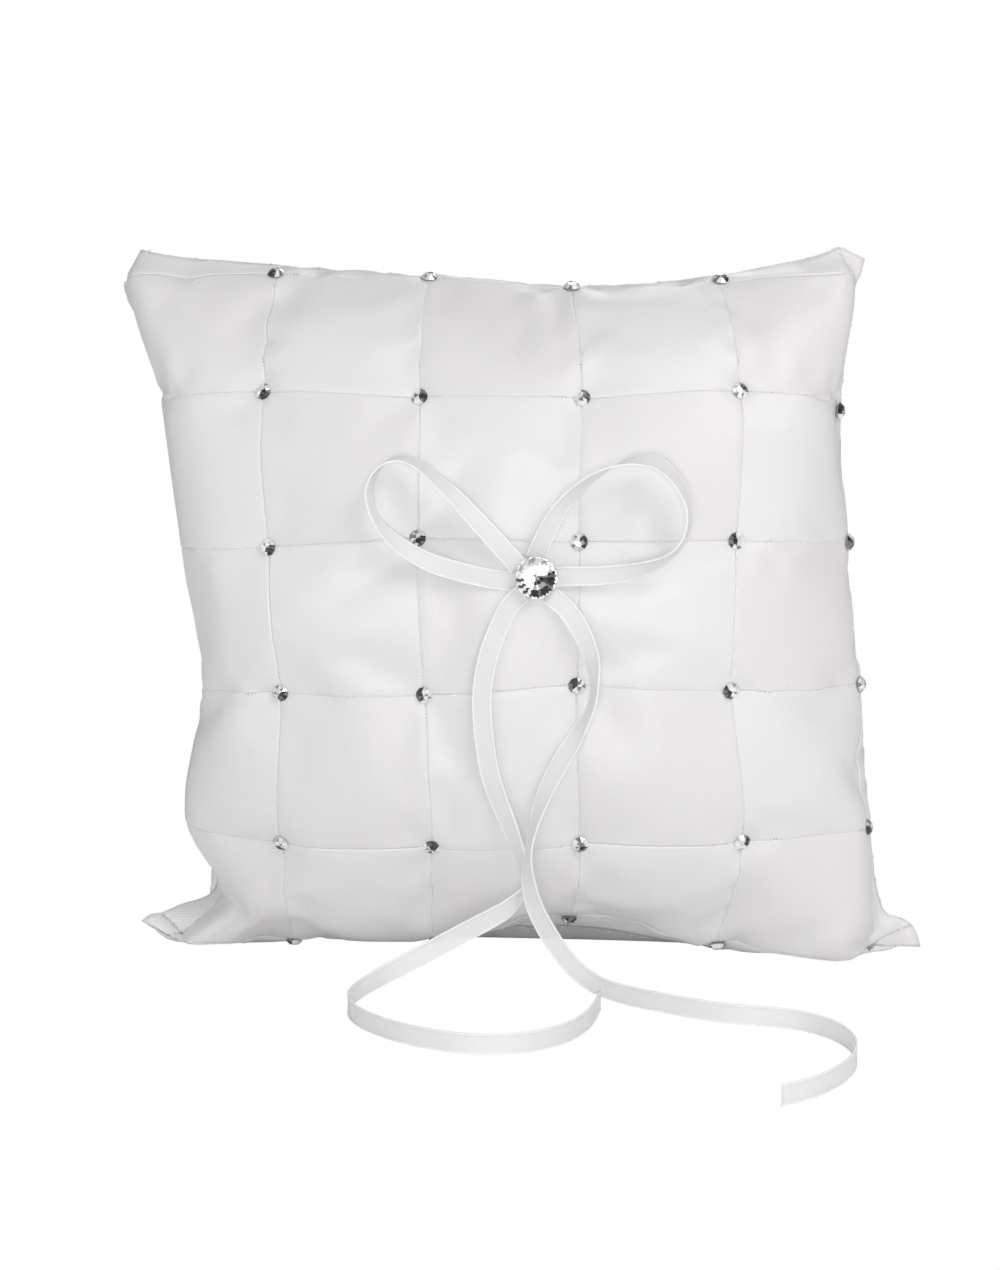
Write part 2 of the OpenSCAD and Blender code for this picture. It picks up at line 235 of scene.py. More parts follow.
# The cross ribbons use a slightly darker copy of the same satin: painted shade standing in for the weaker sheen they
# show; their weave also leans the other way
uprightSatin = makeSatin("satin_upright", (0.91, 0.905, 0.905, 1), (0.87, 0.865, 0.865, 1))
crossSatinPaintedShade = makeSatin("satin_cross", (0.895, 0.88, 0.88, 1), (0.85, 0.835, 0.84, 1), -1.0)
backSatin = makeSatin("back_satin", (0.88, 0.875, 0.87, 1), (0.84, 0.84, 0.84, 1))


def makePicot():
    material, tree, shader = startMaterial("satin_picot")
    tint = objectNoise(tree, 900.0, 1.0)
    tree.links.new(addBlend(tree, tint, (0.93, 0.93, 0.93, 1), (0.99, 0.99, 0.99, 1)), shader.inputs["Base Color"])
    setSockets(shader, {"Roughness": 0.45, "Sheen Weight": 0.2})
    return material


def makeLining():
    material, tree, shader = startMaterial("cotton_lining")
    x, y = clothUv(tree, "cloth")
    warp = addMath(tree, "SINE", addMath(tree, "MULTIPLY", x, 2 * math.pi / 0.0006))
    weft = addMath(tree, "SINE", addMath(tree, "MULTIPLY", y, 2 * math.pi / 0.0006))
    plain = addMath(tree, "ADD", addMath(tree, "MULTIPLY", addMath(tree, "MULTIPLY", warp, weft), 0.5), 0.5)
    tree.links.new(addBlend(tree, plain, (0.74, 0.74, 0.75, 1), (0.84, 0.84, 0.84, 1)), shader.inputs["Base Color"])
    tree.links.new(addBump(tree, plain, 0.5, 0.0001), shader.inputs["Normal"])
    setSockets(shader, {"Roughness": 0.85, "Sheen Weight": 0.2})
    return material


def makeBowSatin():
    material, tree, shader = startMaterial("bow_ribbon")
    x, y = clothUv(tree, "cloth")
    rows = addMath(tree, "SINE", addMath(tree, "MULTIPLY", y, 2 * math.pi / 0.00035))
    fine = addMath(tree, "ADD", addMath(tree, "MULTIPLY", rows, 0.5), 0.5)
    fromMiddle = addMath(tree, "ABSOLUTE", x)
    edge = tree.nodes.new("ShaderNodeMapRange")
    edge.interpolation_type = "SMOOTHSTEP"
    setSockets(edge, {"From Min": 0.00185, "From Max": 0.0022})
    tree.links.new(fromMiddle, edge.inputs["Value"])
    body = addBlend(tree, fine, (0.88, 0.88, 0.885, 1), (0.95, 0.95, 0.95, 1))
    tree.links.new(addBlend(tree, edge.outputs[0], body, (0.96, 0.96, 0.97, 1)), shader.inputs["Base Color"])
    tree.links.new(addBump(tree, fine, 0.15, 0.00002), shader.inputs["Normal"])
    see = tree.nodes.new("ShaderNodeMapRange")
    setSockets(see, {"From Min": 0.0, "From Max": 1.0, "To Min": 0.72, "To Max": 0.95})
    tree.links.new(edge.outputs[0], see.inputs["Value"])
    tree.links.new(see.outputs[0], shader.inputs["Alpha"])
    setSockets(shader, {"Roughness": 0.42, "Sheen Weight": 0.15, "Specular IOR Level": 0.5})
    return material


def makeThread():
    material, tree, shader = startMaterial("sewing_thread")
    twist = objectNoise(tree, 2600.0, 1.0)
    tree.links.new(addBlend(tree, twist, (0.80, 0.80, 0.80, 1), (0.92, 0.92, 0.92, 1)), shader.inputs["Base Color"])
    tree.links.new(addBump(tree, twist, 0.4, 0.00004), shader.inputs["Normal"])
    setSockets(shader, {"Roughness": 0.7})
    return material


# Painted reflections: a per-face value picks a near-black or near-white base colour, standing in for the dark and
# bright light that a cut crystal or silver foil reflects
def makePaintedFacets(name, roughness, coat):
    material, tree, shader = startMaterial(name)
    value = tree.nodes.new("ShaderNodeAttribute")
    value.attribute_name = "facet_painted_light"
    ramp = tree.nodes.new("ShaderNodeValToRGB")
    ramp.color_ramp.elements[0].color = (0.02, 0.023, 0.025, 1)
    ramp.color_ramp.elements[1].color = (0.98, 0.99, 1.0, 1)
    tree.links.new(value.outputs["Fac"], ramp.inputs["Fac"])
    tree.links.new(ramp.outputs["Color"], shader.inputs["Base Color"])
    setSockets(shader, {"Metallic": 0.4, "Roughness": roughness, "Coat Weight": coat, "Coat Roughness": 0.02})
    return material


picotCloth = makePicot()
liningCloth = makeLining()
bowCloth = makeBowSatin()
threadCotton = makeThread()
# Small crystals, foil cup and large crystal carry painted reflections in their base colour
stonePaintedReflections = makePaintedFacets("crystal_painted_facets", 0.12, 0.4)
foilPaintedGlints = makePaintedFacets("foil", 0.12, 0.0)
crystalPaintedReflections = makePaintedFacets("crystal", 0.08, 0.3)


def makeFloor():
    material, tree, shader = startMaterial("paper_floor")
    grain = objectNoise(tree, 40.0, 2.0)
    tree.links.new(addBlend(tree, grain, (0.93, 0.93, 0.93, 1), (0.97, 0.97, 0.97, 1)), shader.inputs["Base Color"])
    setSockets(shader, {"Roughness": 0.9})
    glow = tree.nodes.new("ShaderNodeEmission")     # lit paper that stays white, with an ordinary bounce
    path = tree.nodes.new("ShaderNodeLightPath")
    mix = tree.nodes.new("ShaderNodeMixShader")
    tree.links.new(path.outputs["Is Camera Ray"], mix.inputs[0])
    tree.links.new(shader.outputs[0], mix.inputs[1])
    tree.links.new(glow.outputs[0], mix.inputs[2])
    tree.links.new(mix.outputs[0], tree.nodes["Material Output"].inputs["Surface"])
    return material


bpy.ops.object.select_all(action="DESELECT")
bpy.ops.mesh.primitive_plane_add(size=studio["floorSize"], location=(0, 0, 0))
floor = bpy.context.object
floor.name = "floor"
floor.data.materials.append(makeFloor())
print("materials ready")


# Mesh tools

def buildPiece(name, points, faces, material, cloth=None, smooth=True):
    mesh = bpy.data.meshes.new(name)
    mesh.from_pydata([tuple(p) for p in points], [], [tuple(int(k) for k in f) for f in faces])
    if cloth is not None:
        layer = mesh.uv_layers.new(name="cloth")
        order = np.empty(len(mesh.loops), dtype=np.int32)
        mesh.loops.foreach_get("vertex_index", order)
        layer.data.foreach_set("uv", np.asarray(cloth, dtype=np.float32)[order].ravel())
    mesh.materials.append(material)
    mesh.polygons.foreach_set("use_smooth", [smooth] * len(mesh.polygons))
    mesh.update()
    piece = bpy.data.objects.new(name, mesh)
    bpy.context.scene.collection.objects.link(piece)
    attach(piece, "root")
    return piece


# Quads of a closed slab whose outer grid comes first and inner grid second
def shellFaces(rows, cols):
    index = np.arange(rows * cols).reshape(rows, cols)
    a, b, c, d = index[:-1, :-1], index[:-1, 1:], index[1:, 1:], index[1:, :-1]
    outer = np.stack([a, b, c, d], -1).reshape(-1, 4)
    inner = outer[:, ::-1] + rows * cols
    border = np.concatenate([index[0, :], index[1:, -1], index[-1, -2::-1], index[-2:0:-1, 0]])
    after = np.roll(border, -1)
    rim = np.stack([border, border + rows * cols, after + rows * cols, after], -1)
    return np.concatenate([outer, inner, rim])


# Smooth curve through rows of numbers, with the given steps between two rows
def curvePoints(rows, steps):
    rows = np.asarray(rows, float)
    padded = np.vstack([2 * rows[0] - rows[1], rows, 2 * rows[-1] - rows[-2]])
    out = []
    for k in range(len(rows) - 1):
        a, b, c, d = padded[k:k + 4]
        for s in range(steps):
            t = s / steps
            out.append(0.5 * (2 * b + (c - a) * t + (2 * a - 5 * b + 4 * c - d) * t ** 2
                              + (3 * b - a - 3 * c + d) * t ** 3))
    out.append(rows[-1])
    return np.array(out)


# Narrow ribbon bow

bow = {
    "width": 0.0048, "thickness": 0.00028, "selvage": 0.00042,
    "front": (0.0120, -0.0417, 0.1010),
}

# Rows of point and width direction, in millimetres, loops from the front of the bow's middle
loopLeft = [
    [-4.2, 0.6, 2.2, 0.8, 0, 0.6], [-6.5, 0, 5, 0.75, 0.2, 0.6], [-10, -1, 9, 0.7, 0.3, 0.6],
    [-14.5, -2, 14, 0.6, 0.5, 0.6], [-19, -2.5, 19, 0.5, 0.7, 0.5], [-23.5, -2.5, 23, 0.3, 0.9, 0.4],
    [-28.5, -2, 27, 0.1, 1, 0.3], [-33.5, -1.5, 28.5, 0, 1, 0.2], [-38, -1.5, 26, 0.1, 1, 0],
    [-40.5, -1.5, 21, 0.15, 1, 0], [-39.5, -1, 15, 0.15, 1, 0.1], [-36, -0.5, 10, 0.15, 0.8, 0.5],
    [-31, 0, 6, 0.2, 0.6, 0.7], [-25, 0.2, 3, 0.1, 0.4, 0.9], [-18, 0.3, 1, 0, 0.3, 1],
    [-11, 0.6, -0.5, 0, 0.2, 1], [-3.8, 1.1, -1.2, 0, 0, 1],
]
loopRight = [
    [-0.6, 1.2, 4.2, 0.9, 0, 0.2], [1, 0, 8, 0.9, 0.3, -0.4], [4, -1.5, 14, 0.8, 0.5, -0.4],
    [8, -2.5, 19.5, 0.5, 0.8, -0.4], [13, -3, 24, 0.3, 1, -0.3], [18.5, -3, 27, 0.1, 1, 0],
    [24, -2.5, 28.5, 0, 0.9, 0.4], [29.5, -2, 27.5, 0.1, 0.8, 0.6], [34, -2.5, 23, 0.3, 0.9, 0.3],
    [36.5, -3, 17, 0.2, 1, 0], [36, -3, 11, 0.2, 1, 0], [33, -2.5, 6.5, 0.2, 0.95, -0.15],
    [28, -1.5, 3.5, 0.1, 0.75, -0.5], [22, -0.5, 1.5, 0, 0.45, -0.85], [15, 0.4, 0.5, 0, 0.2, -1],
    [8.5, 0.9, 0.3, 0, 0, -1], [3.8, 1.2, 0, 0, 0, -1],
]
tailLeft = [
    [9, -41.5, 97.5, 0.9, 0.1, -0.3], [5.5, -42, 94, 0.9, 0.1, -0.3], [2.5, -42, 88, 1, 0.1, 0],
    [0, -42, 80.5, 1, 0, 0], [-1.2, -41.5, 73, 1, 0, 0], [-1.2, -41, 66, 1, 0, 0], [-0.5, -40.5, 59, 1, 0, 0],
    [0.5, -39.5, 52.5, 1, 0, 0], [2.5, -38.5, 46, 1, -0.2, 0], [5, -38, 39.5, 0.9, -0.4, 0],
    [7.3, -38, 33.5, 0.7, -0.7, 0.1], [8.8, -38.5, 28, 0.35, -0.9, 0.25], [8.3, -40, 23.5, -0.05, -0.8, 0.55],
    [5, -42, 20, -0.35, -0.4, 0.85], [0, -43, 17, -0.3, -0.1, 1], [-6, -43.5, 13.8, -0.3, 0, 1],
    [-12, -44, 10.5, -0.3, 0, 1], [-18, -45, 7.3, -0.3, 0, 1], [-24, -48, 4.5, -0.1, 0, 1],
    [-28, -54, 3, 0, 0, 1], [-30, -62, 2.6, 0, 0, 1], [-30, -71, 2.6, 0, 0, 1], [-27.5, -80, 2.6, 0, 0, 1],
    [-23, -88, 2.6, 0, 0, 1], [-16, -96, 2.6, 0, 0, 1], [-8, -102, 2.6, 0, 0, 1], [1, -106, 2.6, 0, 0, 1],
    [10, -106, 2.6, 0, 0, 1], [17.5, -102, 2.6, 0, 0, 1], [23.5, -94, 2.6, 0, 0, 1],
    [27, -84, 2.6, 0, 0, 1], [28.5, -73, 2.6, 0, 0, 1], [29, -62, 2.6, 0, 0, 1],
]
tailRight = [
    [15, -41.5, 97, 0.7, 0.1, 0.7], [19.5, -42, 93, 0.8, 0, 0.6], [23, -42, 87.5, 0.9, -0.2, 0.4],
    [25.3, -42, 81.5, 0.8, -0.5, 0], [26, -42, 75.5, 0.5, -0.9, 0], [25, -42, 69, 0.5, -0.8, 0.3],
    [21.5, -42, 62.5, 0.8, -0.4, 0.4], [17.5, -41.5, 55.5, 0.9, -0.3, 0.2], [14, -41.5, 48.5, 0.8, -0.5, 0.1],
    [11.5, -42.5, 41, 0.5, -0.8, 0], [10.2, -43.5, 34, 0.4, -0.9, 0], [10.3, -44, 27, 0.7, -0.6, 0],
    [12, -44, 20.5, 0.9, -0.3, 0], [15, -43.5, 14.5, 0.9, -0.2, 0.3], [18.5, -44, 9.5, 0.7, -0.2, 0.6],
    [22.5, -45.5, 5.5, 0.4, -0.1, 0.8], [27, -48.5, 3.2, 0.1, 0, 1], [32, -53.5, 2.6, 0, 0, 1],
    [38, -59, 2.6, 0, 0, 1], [45, -64, 2.6, 0, 0, 1], [52.5, -69, 2.6, 0, 0, 1], [60.5, -72.5, 2.6, 0, 0, 1],
    [69, -74.5, 2.6, 0, 0, 1], [77, -78, 2.6, 0, 0, 1], [83.5, -85, 2.6, 0, 0, 1], [87.5, -94.5, 2.6, 0, 0, 1],
    [89, -105, 2.6, 0, 0, 1], [88, -115.5, 2.6, 0, 0, 1], [85, -125.5, 2.6, 0, 0, 1],
    [80, -135, 2.6, 0, 0, 1], [73, -143, 2.6, 0, 0, 1],
]


def unitRows(a):
    return a / np.maximum(np.linalg.norm(a, axis=-1, keepdims=True), 1e-12)


# Narrow ribbon along a route, with a thicker selvage on both edges
def layRibbon(name, rows, node, start=(0, 0, 0), steps=5):
    line = curvePoints(rows, steps)
    centre = line[:, :3] * 0.001 + np.array(start)
    along = unitRows(np.gradient(centre, axis=0))
    wide = line[:, 3:]
    wide = unitRows(wide - (wide * along).sum(1, keepdims=True) * along)
    thick = np.cross(along, wide)
    across = np.array([-0.5, -0.485, -0.44, -0.41, -0.25, 0, 0.25, 0.41, 0.44, 0.485, 0.5])
    edge = np.abs(across) > 0.43
    rise = np.where(edge, bow["selvage"], bow["thickness"]) / 2
    rise[[0, -1]] *= 0.5
    ring = [(w, h) for w, h in zip(across, rise)] + [(w, -h) for w, h in zip(across[::-1], rise[::-1])]
    count = len(ring)
    points = np.concatenate([
        centre[k] + wide[k] * w * bow["width"] + thick[k] * h
        for k in range(len(centre)) for w, h in ring]).reshape(-1, 3)
    points[:, 2] = np.maximum(points[:, 2], 0.0001)
    distance = np.concatenate([[0], np.cumsum(np.linalg.norm(np.diff(centre, axis=0), axis=1))])
    cloth = [(w * bow["width"], distance[k]) for k in range(len(centre)) for w, h in ring]
    faces = []
    for k in range(len(centre) - 1):
        for a in range(count):
            b = (a + 1) % count
            faces.append((k * count + a, (k + 1) * count + a, (k + 1) * count + b, k * count + b))
    last = (len(centre) - 1) * count
    half = count // 2
    for a in range(half - 1):  # both ends are closed by strips of quads
        p, q = a, count - 1 - a
        faces.append((p, p + 1, q - 1, q))
        faces.append((last + p + 1, last + p, last + q, last + q - 1))
    piece = buildPiece(name, points, faces, bowCloth, cloth)
    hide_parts(node)
    print(name, "length", round(float(distance[-1]), 4))
    return piece


layRibbon("bow_tail_left_ribbon", tailLeft, "bow_tail_left")
layRibbon("bow_tail_right_ribbon", tailRight, "bow_tail_right")
layRibbon("bow_loop_left_ribbon", loopLeft, "bow_loop_left", bow["front"])
layRibbon("bow_loop_right_ribbon", loopRight, "bow_loop_right", bow["front"])
print("bow ribbons laid")


# Cushion

cushion = {
    "half": 0.1016, "pitch": 0.0381, "ribbonWidth": 0.0378,
    "standHeight": 0.0895,
    "frontBulge": 0.0368, "backBulge": 0.0445,
    "sidePull": 0.169, "cornerTop": 0.073, "cornerBottom": 0.034,
    "cornerPower": 2.5, "swellPower": 3.0,
    "lean": -0.055, "shift": 0.0039,
    "pressure": 4.0, "slack": -0.018, "mostMove": 0.006,
    "cellsPerRibbon": 8,
}


# Places of the grid lines from -1 to 1, with one line at every crossing of the ribbons' edges
def cushionGrid():
    step = cushion["pitch"] / cushion["cellsPerRibbon"]
    inner = np.arange(-20, 21) * step
    edge = cushion["half"]
    outer = (edge + inner[-1]) / 2
    return np.concatenate([[-edge, -outer], inner, [outer, edge]]) / edge


# How far the hand-sewn shape strays from the plain one, in millimetres, at places across (columns, left seam to right
# seam) and down (rows, top seam to bottom seam): the puckers at the crystals, the turned edges and the ears
nudge = {
    "across": [-1, -0.9375, -0.87, -0.5625, -0.1875, 0.1875, 0.5625, 0.87, 0.9375, 1],
    "down": [1, 0.9375, 0.5625, 0.1875, -0.1875, -0.5625, -0.8, -0.9375, -1],
    "right": [
        [7.5, 1, -3, -1.5, -0.3, -0.5, 1.5, 1, -0.5, 0.5],
        [0.5, -4, -7, -2, -0.3, -0.5, 1.8, 7, 0.5, -1],
        [5, 1, -5.5, -2.5, -1.3, 0.5, 2.3, 3, -1.3, -3],
        [6, 3, -3.5, -2, -2, -1, -0.5, 0.5, 0, -2.5],
        [7.5, 4.5, -0.5, 0, -0.5, -1.5, -2, 1.5, 1.5, -0.5],
        [6, 3, -3.5, -0.8, 1.3, 0, 1.5, 2.5, 1.3, -1],
        [10, 9, 8, -0.5, 1.2, -1, -0.5, 2, 0, -1.5],
        [1, 2, 0, -1, 1.2, -1.8, -2.3, -1, -3, 2],
        [-1.5, 0, 0, -1, 1.2, -1.8, -2.3, -1, -2, 2.5],
    ],
    "up": [
        [-12, -4, -3.5, -2, -2.5, -5, -4.5, -3.5, -3, -7],
        [-8, -6, -4, -1.5, -1.3, -3.5, -2.8, -3.5, -4.5, -8.5],
        [-5, -5, -3, -1, -2.5, -2.5, -0.3, -2.5, -4, -3.5],
        [-3.5, -3.5, -2.8, -1.8, 1, 0.5, 0.8, 0, -0.8, -0.8],
        [-3, -3, -1.5, 0, 1, 3.8, 2, 0.5, 0, 0],
        [0.5, 0.5, 0.5, -1.3, -0.3, 1, 1, 0.6, 0.3, 0.3],
        [1, 1, 0, -0.8, -0.3, 2, 1, 0, 0.5, 0.5],
        [10, 3.5, 1.6, -2, -1, 4.8, 0.8, 0.6, 3.2, 11],
        [14.5, 9, 6, 0.8, 0.5, 2.5, 0.8, 5.4, 9, 11.7],
    ],
    "back": [
        [2, 1, 0, 0, 0, 0, 0, 0, 0, 2],
        [2, 1.5, -3.5, -1.5, -1.5, -1.5, -1.5, -2, 3, 2],
        [0, -1.5, -3, -0.5, 0, 0, 0, -1, 0, 0],
        [0, 0, -1.5, 0, 0.9, 0.5, 0, 0, 0, 0],
        [0, 0, -1.5, 0, 0.5, 0.2, 0, 0, 0, 0],
        [0, 0, -2, 0, 0, 0, 0, -1, 0, 0],
        [7, 5, -1, -1.5, -1.5, -1, -1.5, -2.5, 2, 4],
        [1, 1, -4, 4, -1, -1, -2, -3, 5, 2],
        [-1, -1, -2, 3, 1, 0, 0, 0, 4, 2],
    ],
}


def cubicWeights(t):
    return np.stack([-0.5 * t + t ** 2 - 0.5 * t ** 3, 1 - 2.5 * t ** 2 + 1.5 * t ** 3,
                     0.5 * t + 2 * t ** 2 - 1.5 * t ** 3, -0.5 * t ** 2 + 0.5 * t ** 3], -1)


# Values of a grid at fractional rows and columns, smoothly between its entries
def smoothLookup(table, row, column):
    rows, columns = table.shape[:2]
    ir, ic = np.minimum(row.astype(int), rows - 2), np.minimum(column.astype(int), columns - 2)
    wr, wc = cubicWeights(row - ir), cubicWeights(column - ic)
    total = 0
    for a in range(4):
        for b in range(4):
            r = np.clip(ir + b - 1, 0, rows - 1)
            c = np.clip(ic + a - 1, 0, columns - 1)
            total = total + table[r, c] * (wc[..., a] * wr[..., b])[..., None]
    return total


def sewnNudge(u, v):
    table = np.stack([nudge["right"], nudge["back"], nudge["up"]], -1) * 0.001
    row = np.interp(-v, -np.array(nudge["down"]), np.arange(len(nudge["down"])))
    column = np.interp(u, nudge["across"], np.arange(len(nudge["across"])))
    return smoothLookup(table, row, column)


def sideCurve(a, b, corner):
    s, t = np.abs(a), np.abs(b) ** cushion["cornerPower"]
    return np.sign(a) * cushion["half"] * (s - cushion["sidePull"] * s ** 5 * (1 - t) - corner * s * t)


def cushionForm(u, v, bulge):
    corner = cushion["cornerBottom"] + (cushion["cornerTop"] - cushion["cornerBottom"]) * (v + 1) / 2
    x = sideCurve(u, v, corner)
    z = sideCurve(v, u, corner)
    p = cushion["swellPower"]
    swell = (1 - np.abs(u) ** p) * (1 - np.abs(v) ** p)
    x = x + cushion["lean"] * z * u ** 2 + cushion["shift"] * (1 - v ** 2)
    sag = np.clip((-v - 0.55) / 0.45, 0, 1)
    press = 0.0183 * 16 * (sag * (1 - sag)) ** 2 * (1 - u ** 4) if bulge > 0 else 0
    form = np.stack([x, bulge * swell, z + cushion["standHeight"] - press], -1)
    share = 1 if bulge < 0 else np.maximum(np.abs(u), np.abs(v)) ** 10
    form += sewnNudge(u, v) * np.asarray(share)[..., None]
    form[..., 2] = np.maximum(form[..., 2], 0.0009)
    return form


lines = cushionGrid()
side = len(lines)
gridU, gridV = np.meshgrid(lines, lines)            # rows run upwards, columns to the right
frontForm = cushionForm(gridU, gridV, -cushion["frontBulge"])
backForm = cushionForm(gridU, gridV, cushion["backBulge"])


# Front and back grids that share the seam's points, with the index of each point
def closedCushion():
    frontIndex = np.arange(side * side).reshape(side, side)
    backIndex = frontIndex.copy()
    inner = np.arange((side - 2) ** 2).reshape(side - 2, side - 2) + side * side
    backIndex[1:-1, 1:-1] = inner
    points = np.concatenate([frontForm.reshape(-1, 3), backForm[1:-1, 1:-1].reshape(-1, 3)])
    a, b, c, d = frontIndex[:-1, :-1], frontIndex[:-1, 1:], frontIndex[1:, 1:], frontIndex[1:, :-1]
    frontFaces = np.stack([a, b, c, d], -1).reshape(-1, 4)
    a, b, c, d = backIndex[:-1, :-1], backIndex[:-1, 1:], backIndex[1:, 1:], backIndex[1:, :-1]
    backFaces = np.stack([d, c, b, a], -1).reshape(-1, 4)
    return points, np.concatenate([frontFaces, backFaces]), frontIndex, backIndex


formPoints, formFaces, frontIndex, backIndex = closedCushion()


# Cloth filled under pressure, held at the stones and softly along the seam
def blowUp(points, faces):
    mesh = bpy.data.meshes.new("inflating")
    mesh.from_pydata([tuple(p) for p in points], [], [tuple(int(k) for k in f) for f in faces])
    form = bpy.data.objects.new("inflating", mesh)
    bpy.context.scene.collection.objects.link(form)
    held = form.vertex_groups.new(name="held")
    crossing = range(2, side - 2, cushion["cellsPerRibbon"])
    for r in crossing:
        for c in crossing:
            held.add([int(frontIndex[r, c])], 1.0, "REPLACE")
    border = np.unique(np.concatenate([frontIndex[0], frontIndex[-1], frontIndex[:, 0], frontIndex[:, -1]]))
    held.add([int(k) for k in border], 0.85, "REPLACE")
    low = [int(k) for k in np.flatnonzero(points[:, 2] < 0.002)]
    held.add(low, 1.0, "REPLACE")
    swell = form.modifiers.new("swell", "CLOTH")
    s = swell.settings
    s.quality = 6
    s.mass = 0.2
    s.tension_stiffness = 12
    s.compression_stiffness = 12
    s.shear_stiffness = 6
    s.bending_stiffness = 0.4
    s.use_pressure = True
    s.uniform_pressure_force = cushion["pressure"]
    s.shrink_min = cushion["slack"]
    s.shrink_max = cushion["slack"]
    s.vertex_group_mass = "held"
    s.effector_weights.gravity = 0
    swell.collision_settings.use_collision = False
    scene = bpy.context.scene
    for step in range(1, 21):
        scene.frame_set(step)
    done = form.evaluated_get(bpy.context.evaluated_depsgraph_get())
    moved = np.array([tuple(p.co) for p in done.data.vertices])
    scene.frame_set(1)
    bpy.data.objects.remove(form)
    shift = moved - points
    length = np.linalg.norm(shift, axis=1, keepdims=True)
    print("cushion moved by up to", round(float(length.max()) * 1000, 1), "mm, mean",
          round(float(length.mean()) * 1000, 2), "mm")
    shift *= np.minimum(1, cushion["mostMove"] / np.maximum(length, 1e-9))
    moved = points + shift
    moved[:, 2] = np.maximum(moved[:, 2], 0.0009)
    return moved


formPoints = blowUp(formPoints, formFaces)
frontSkin = formPoints[frontIndex]
backSkin = formPoints[backIndex]


# Points of a skin at places from -1 to 1
def skinAt(skin, u, v):
    return smoothLookup(skin, np.interp(v, lines, np.arange(side)), np.interp(u, lines, np.arange(side)))


def skinNormal(skin, u, v, outward):
    probe = 0.004
    du = skinAt(skin, np.clip(u + probe, -1, 1), v) - skinAt(skin, np.clip(u - probe, -1, 1), v)
    dv = skinAt(skin, u, np.clip(v + probe, -1, 1)) - skinAt(skin, u, np.clip(v - probe, -1, 1))
    return outward * unitRows(np.cross(du, dv) + np.array([0, -1e-10, 0]))


def overFront(u, v, lift):
    return skinAt(frontSkin, u, v) + skinNormal(frontSkin, u, v, 1) * np.asarray(lift)[..., None]


def overBack(u, v, lift):
    return skinAt(backSkin, u, v) + skinNormal(backSkin, u, v, -1) * np.asarray(lift)[..., None]


body = buildPiece("cushion_body", formPoints, formFaces, liningCloth,
                  np.concatenate([np.stack([gridU, gridV], -1).reshape(-1, 2),
                                  np.stack([gridU, gridV], -1)[1:-1, 1:-1].reshape(-1, 2)]) * cushion["half"])
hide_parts("filling", "front_lining")

# Back cloth: a thin closed sheet over the back of the cushion
fineLines = np.interp(np.linspace(0, side - 1, 3 * (side - 1) + 1), np.arange(side), lines)
backU, backV = np.meshgrid(fineLines[::-1], fineLines)
backOuter = overBack(backU, backV, np.full(backU.shape, 0.00040))
backInner = overBack(backU, backV, np.full(backU.shape, 0.00012))
backOuter[..., 2] = np.maximum(backOuter[..., 2], 0.0003)
backInner[..., 2] = np.maximum(backInner[..., 2], 0.0006)
rows, cols = backU.shape
backPiece = buildPiece(
    "back_cloth", np.concatenate([backOuter.reshape(-1, 3), backInner.reshape(-1, 3)]), shellFaces(rows, cols),
    backSatin, np.tile(np.stack([backU, backV], -1).reshape(-1, 2) * cushion["half"], (2, 1)))
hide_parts("back_panel")
print("cushion ready")


# Basket weave

weave = {
    "count": 7, "under": 0.00012, "over": 0.00050, "thickness": 0.00016,
    "crown": 0.00025,
    "picotPitch": 0.00076, "picotReach": 0.00042, "picotHalfWidth": 0.00027, "picotHalfThick": 0.00011,
}


# Low and high edge of ribbon i, counted from the left or from the bottom, in metres from the middle
def stripSpan(i):
    low = -cushion["half"] if i == 0 else (i - 3) * cushion["pitch"] - cushion["ribbonWidth"] / 2
    high = cushion["half"] if i == 6 else (i - 3) * cushion["pitch"] + cushion["ribbonWidth"] / 2
    return low, high


def onTop(own, crossed, upright):
    return (own + crossed) % 2 == (1 if upright else 0)


# Height of a ribbon over the lining along its length: it dives in the gaps between the crossed ribbons
def liftAlong(own, upright, along):
    tops = np.array([1.0 if onTop(own, j, upright) else 0.0 for j in range(7)])
    place = along / cushion["pitch"] + 3
    tile = np.clip(np.floor(place + 0.5).astype(int), 0, 6)
    fromEdge = (place + 0.5 - tile) * cushion["pitch"]
    gap = 0.0004
    toNext = np.clip((fromEdge - (cushion["pitch"] - gap)) / gap, 0, 1) / 2
    toLast = np.clip((gap - fromEdge) / gap, 0, 1) / 2
    share = tops[tile] * (1 - toNext - toLast) + tops[np.clip(tile + 1, 0, 6)] * toNext + tops[np.clip(tile - 1, 0, 6)] * toLast
    share = share * share * (3 - 2 * share)
    return weave["under"] + (weave["over"] - weave["under"]) * share


# Places along a ribbon, close together where it is on top and at the dives
def alongPlaces(own, upright):
    places = []
    for j in range(7):
        low = -cushion["half"] if j == 0 else (j - 3.5) * cushion["pitch"]
        high = cushion["half"] if j == 6 else (j - 2.5) * cushion["pitch"]
        gap = 0.0004
        steps = (18 if onTop(own, j, upright) else 9) if 0 < j < 6 else 4
        inner = np.linspace(low + (gap if j > 0 else 0), high - (gap if j < 6 else 0), steps + 1)
        places += ([low, low + gap / 2] if j > 0 else []) + list(inner) + ([high - gap / 2] if j < 6 else [])
    return np.unique(np.round(places, 7))


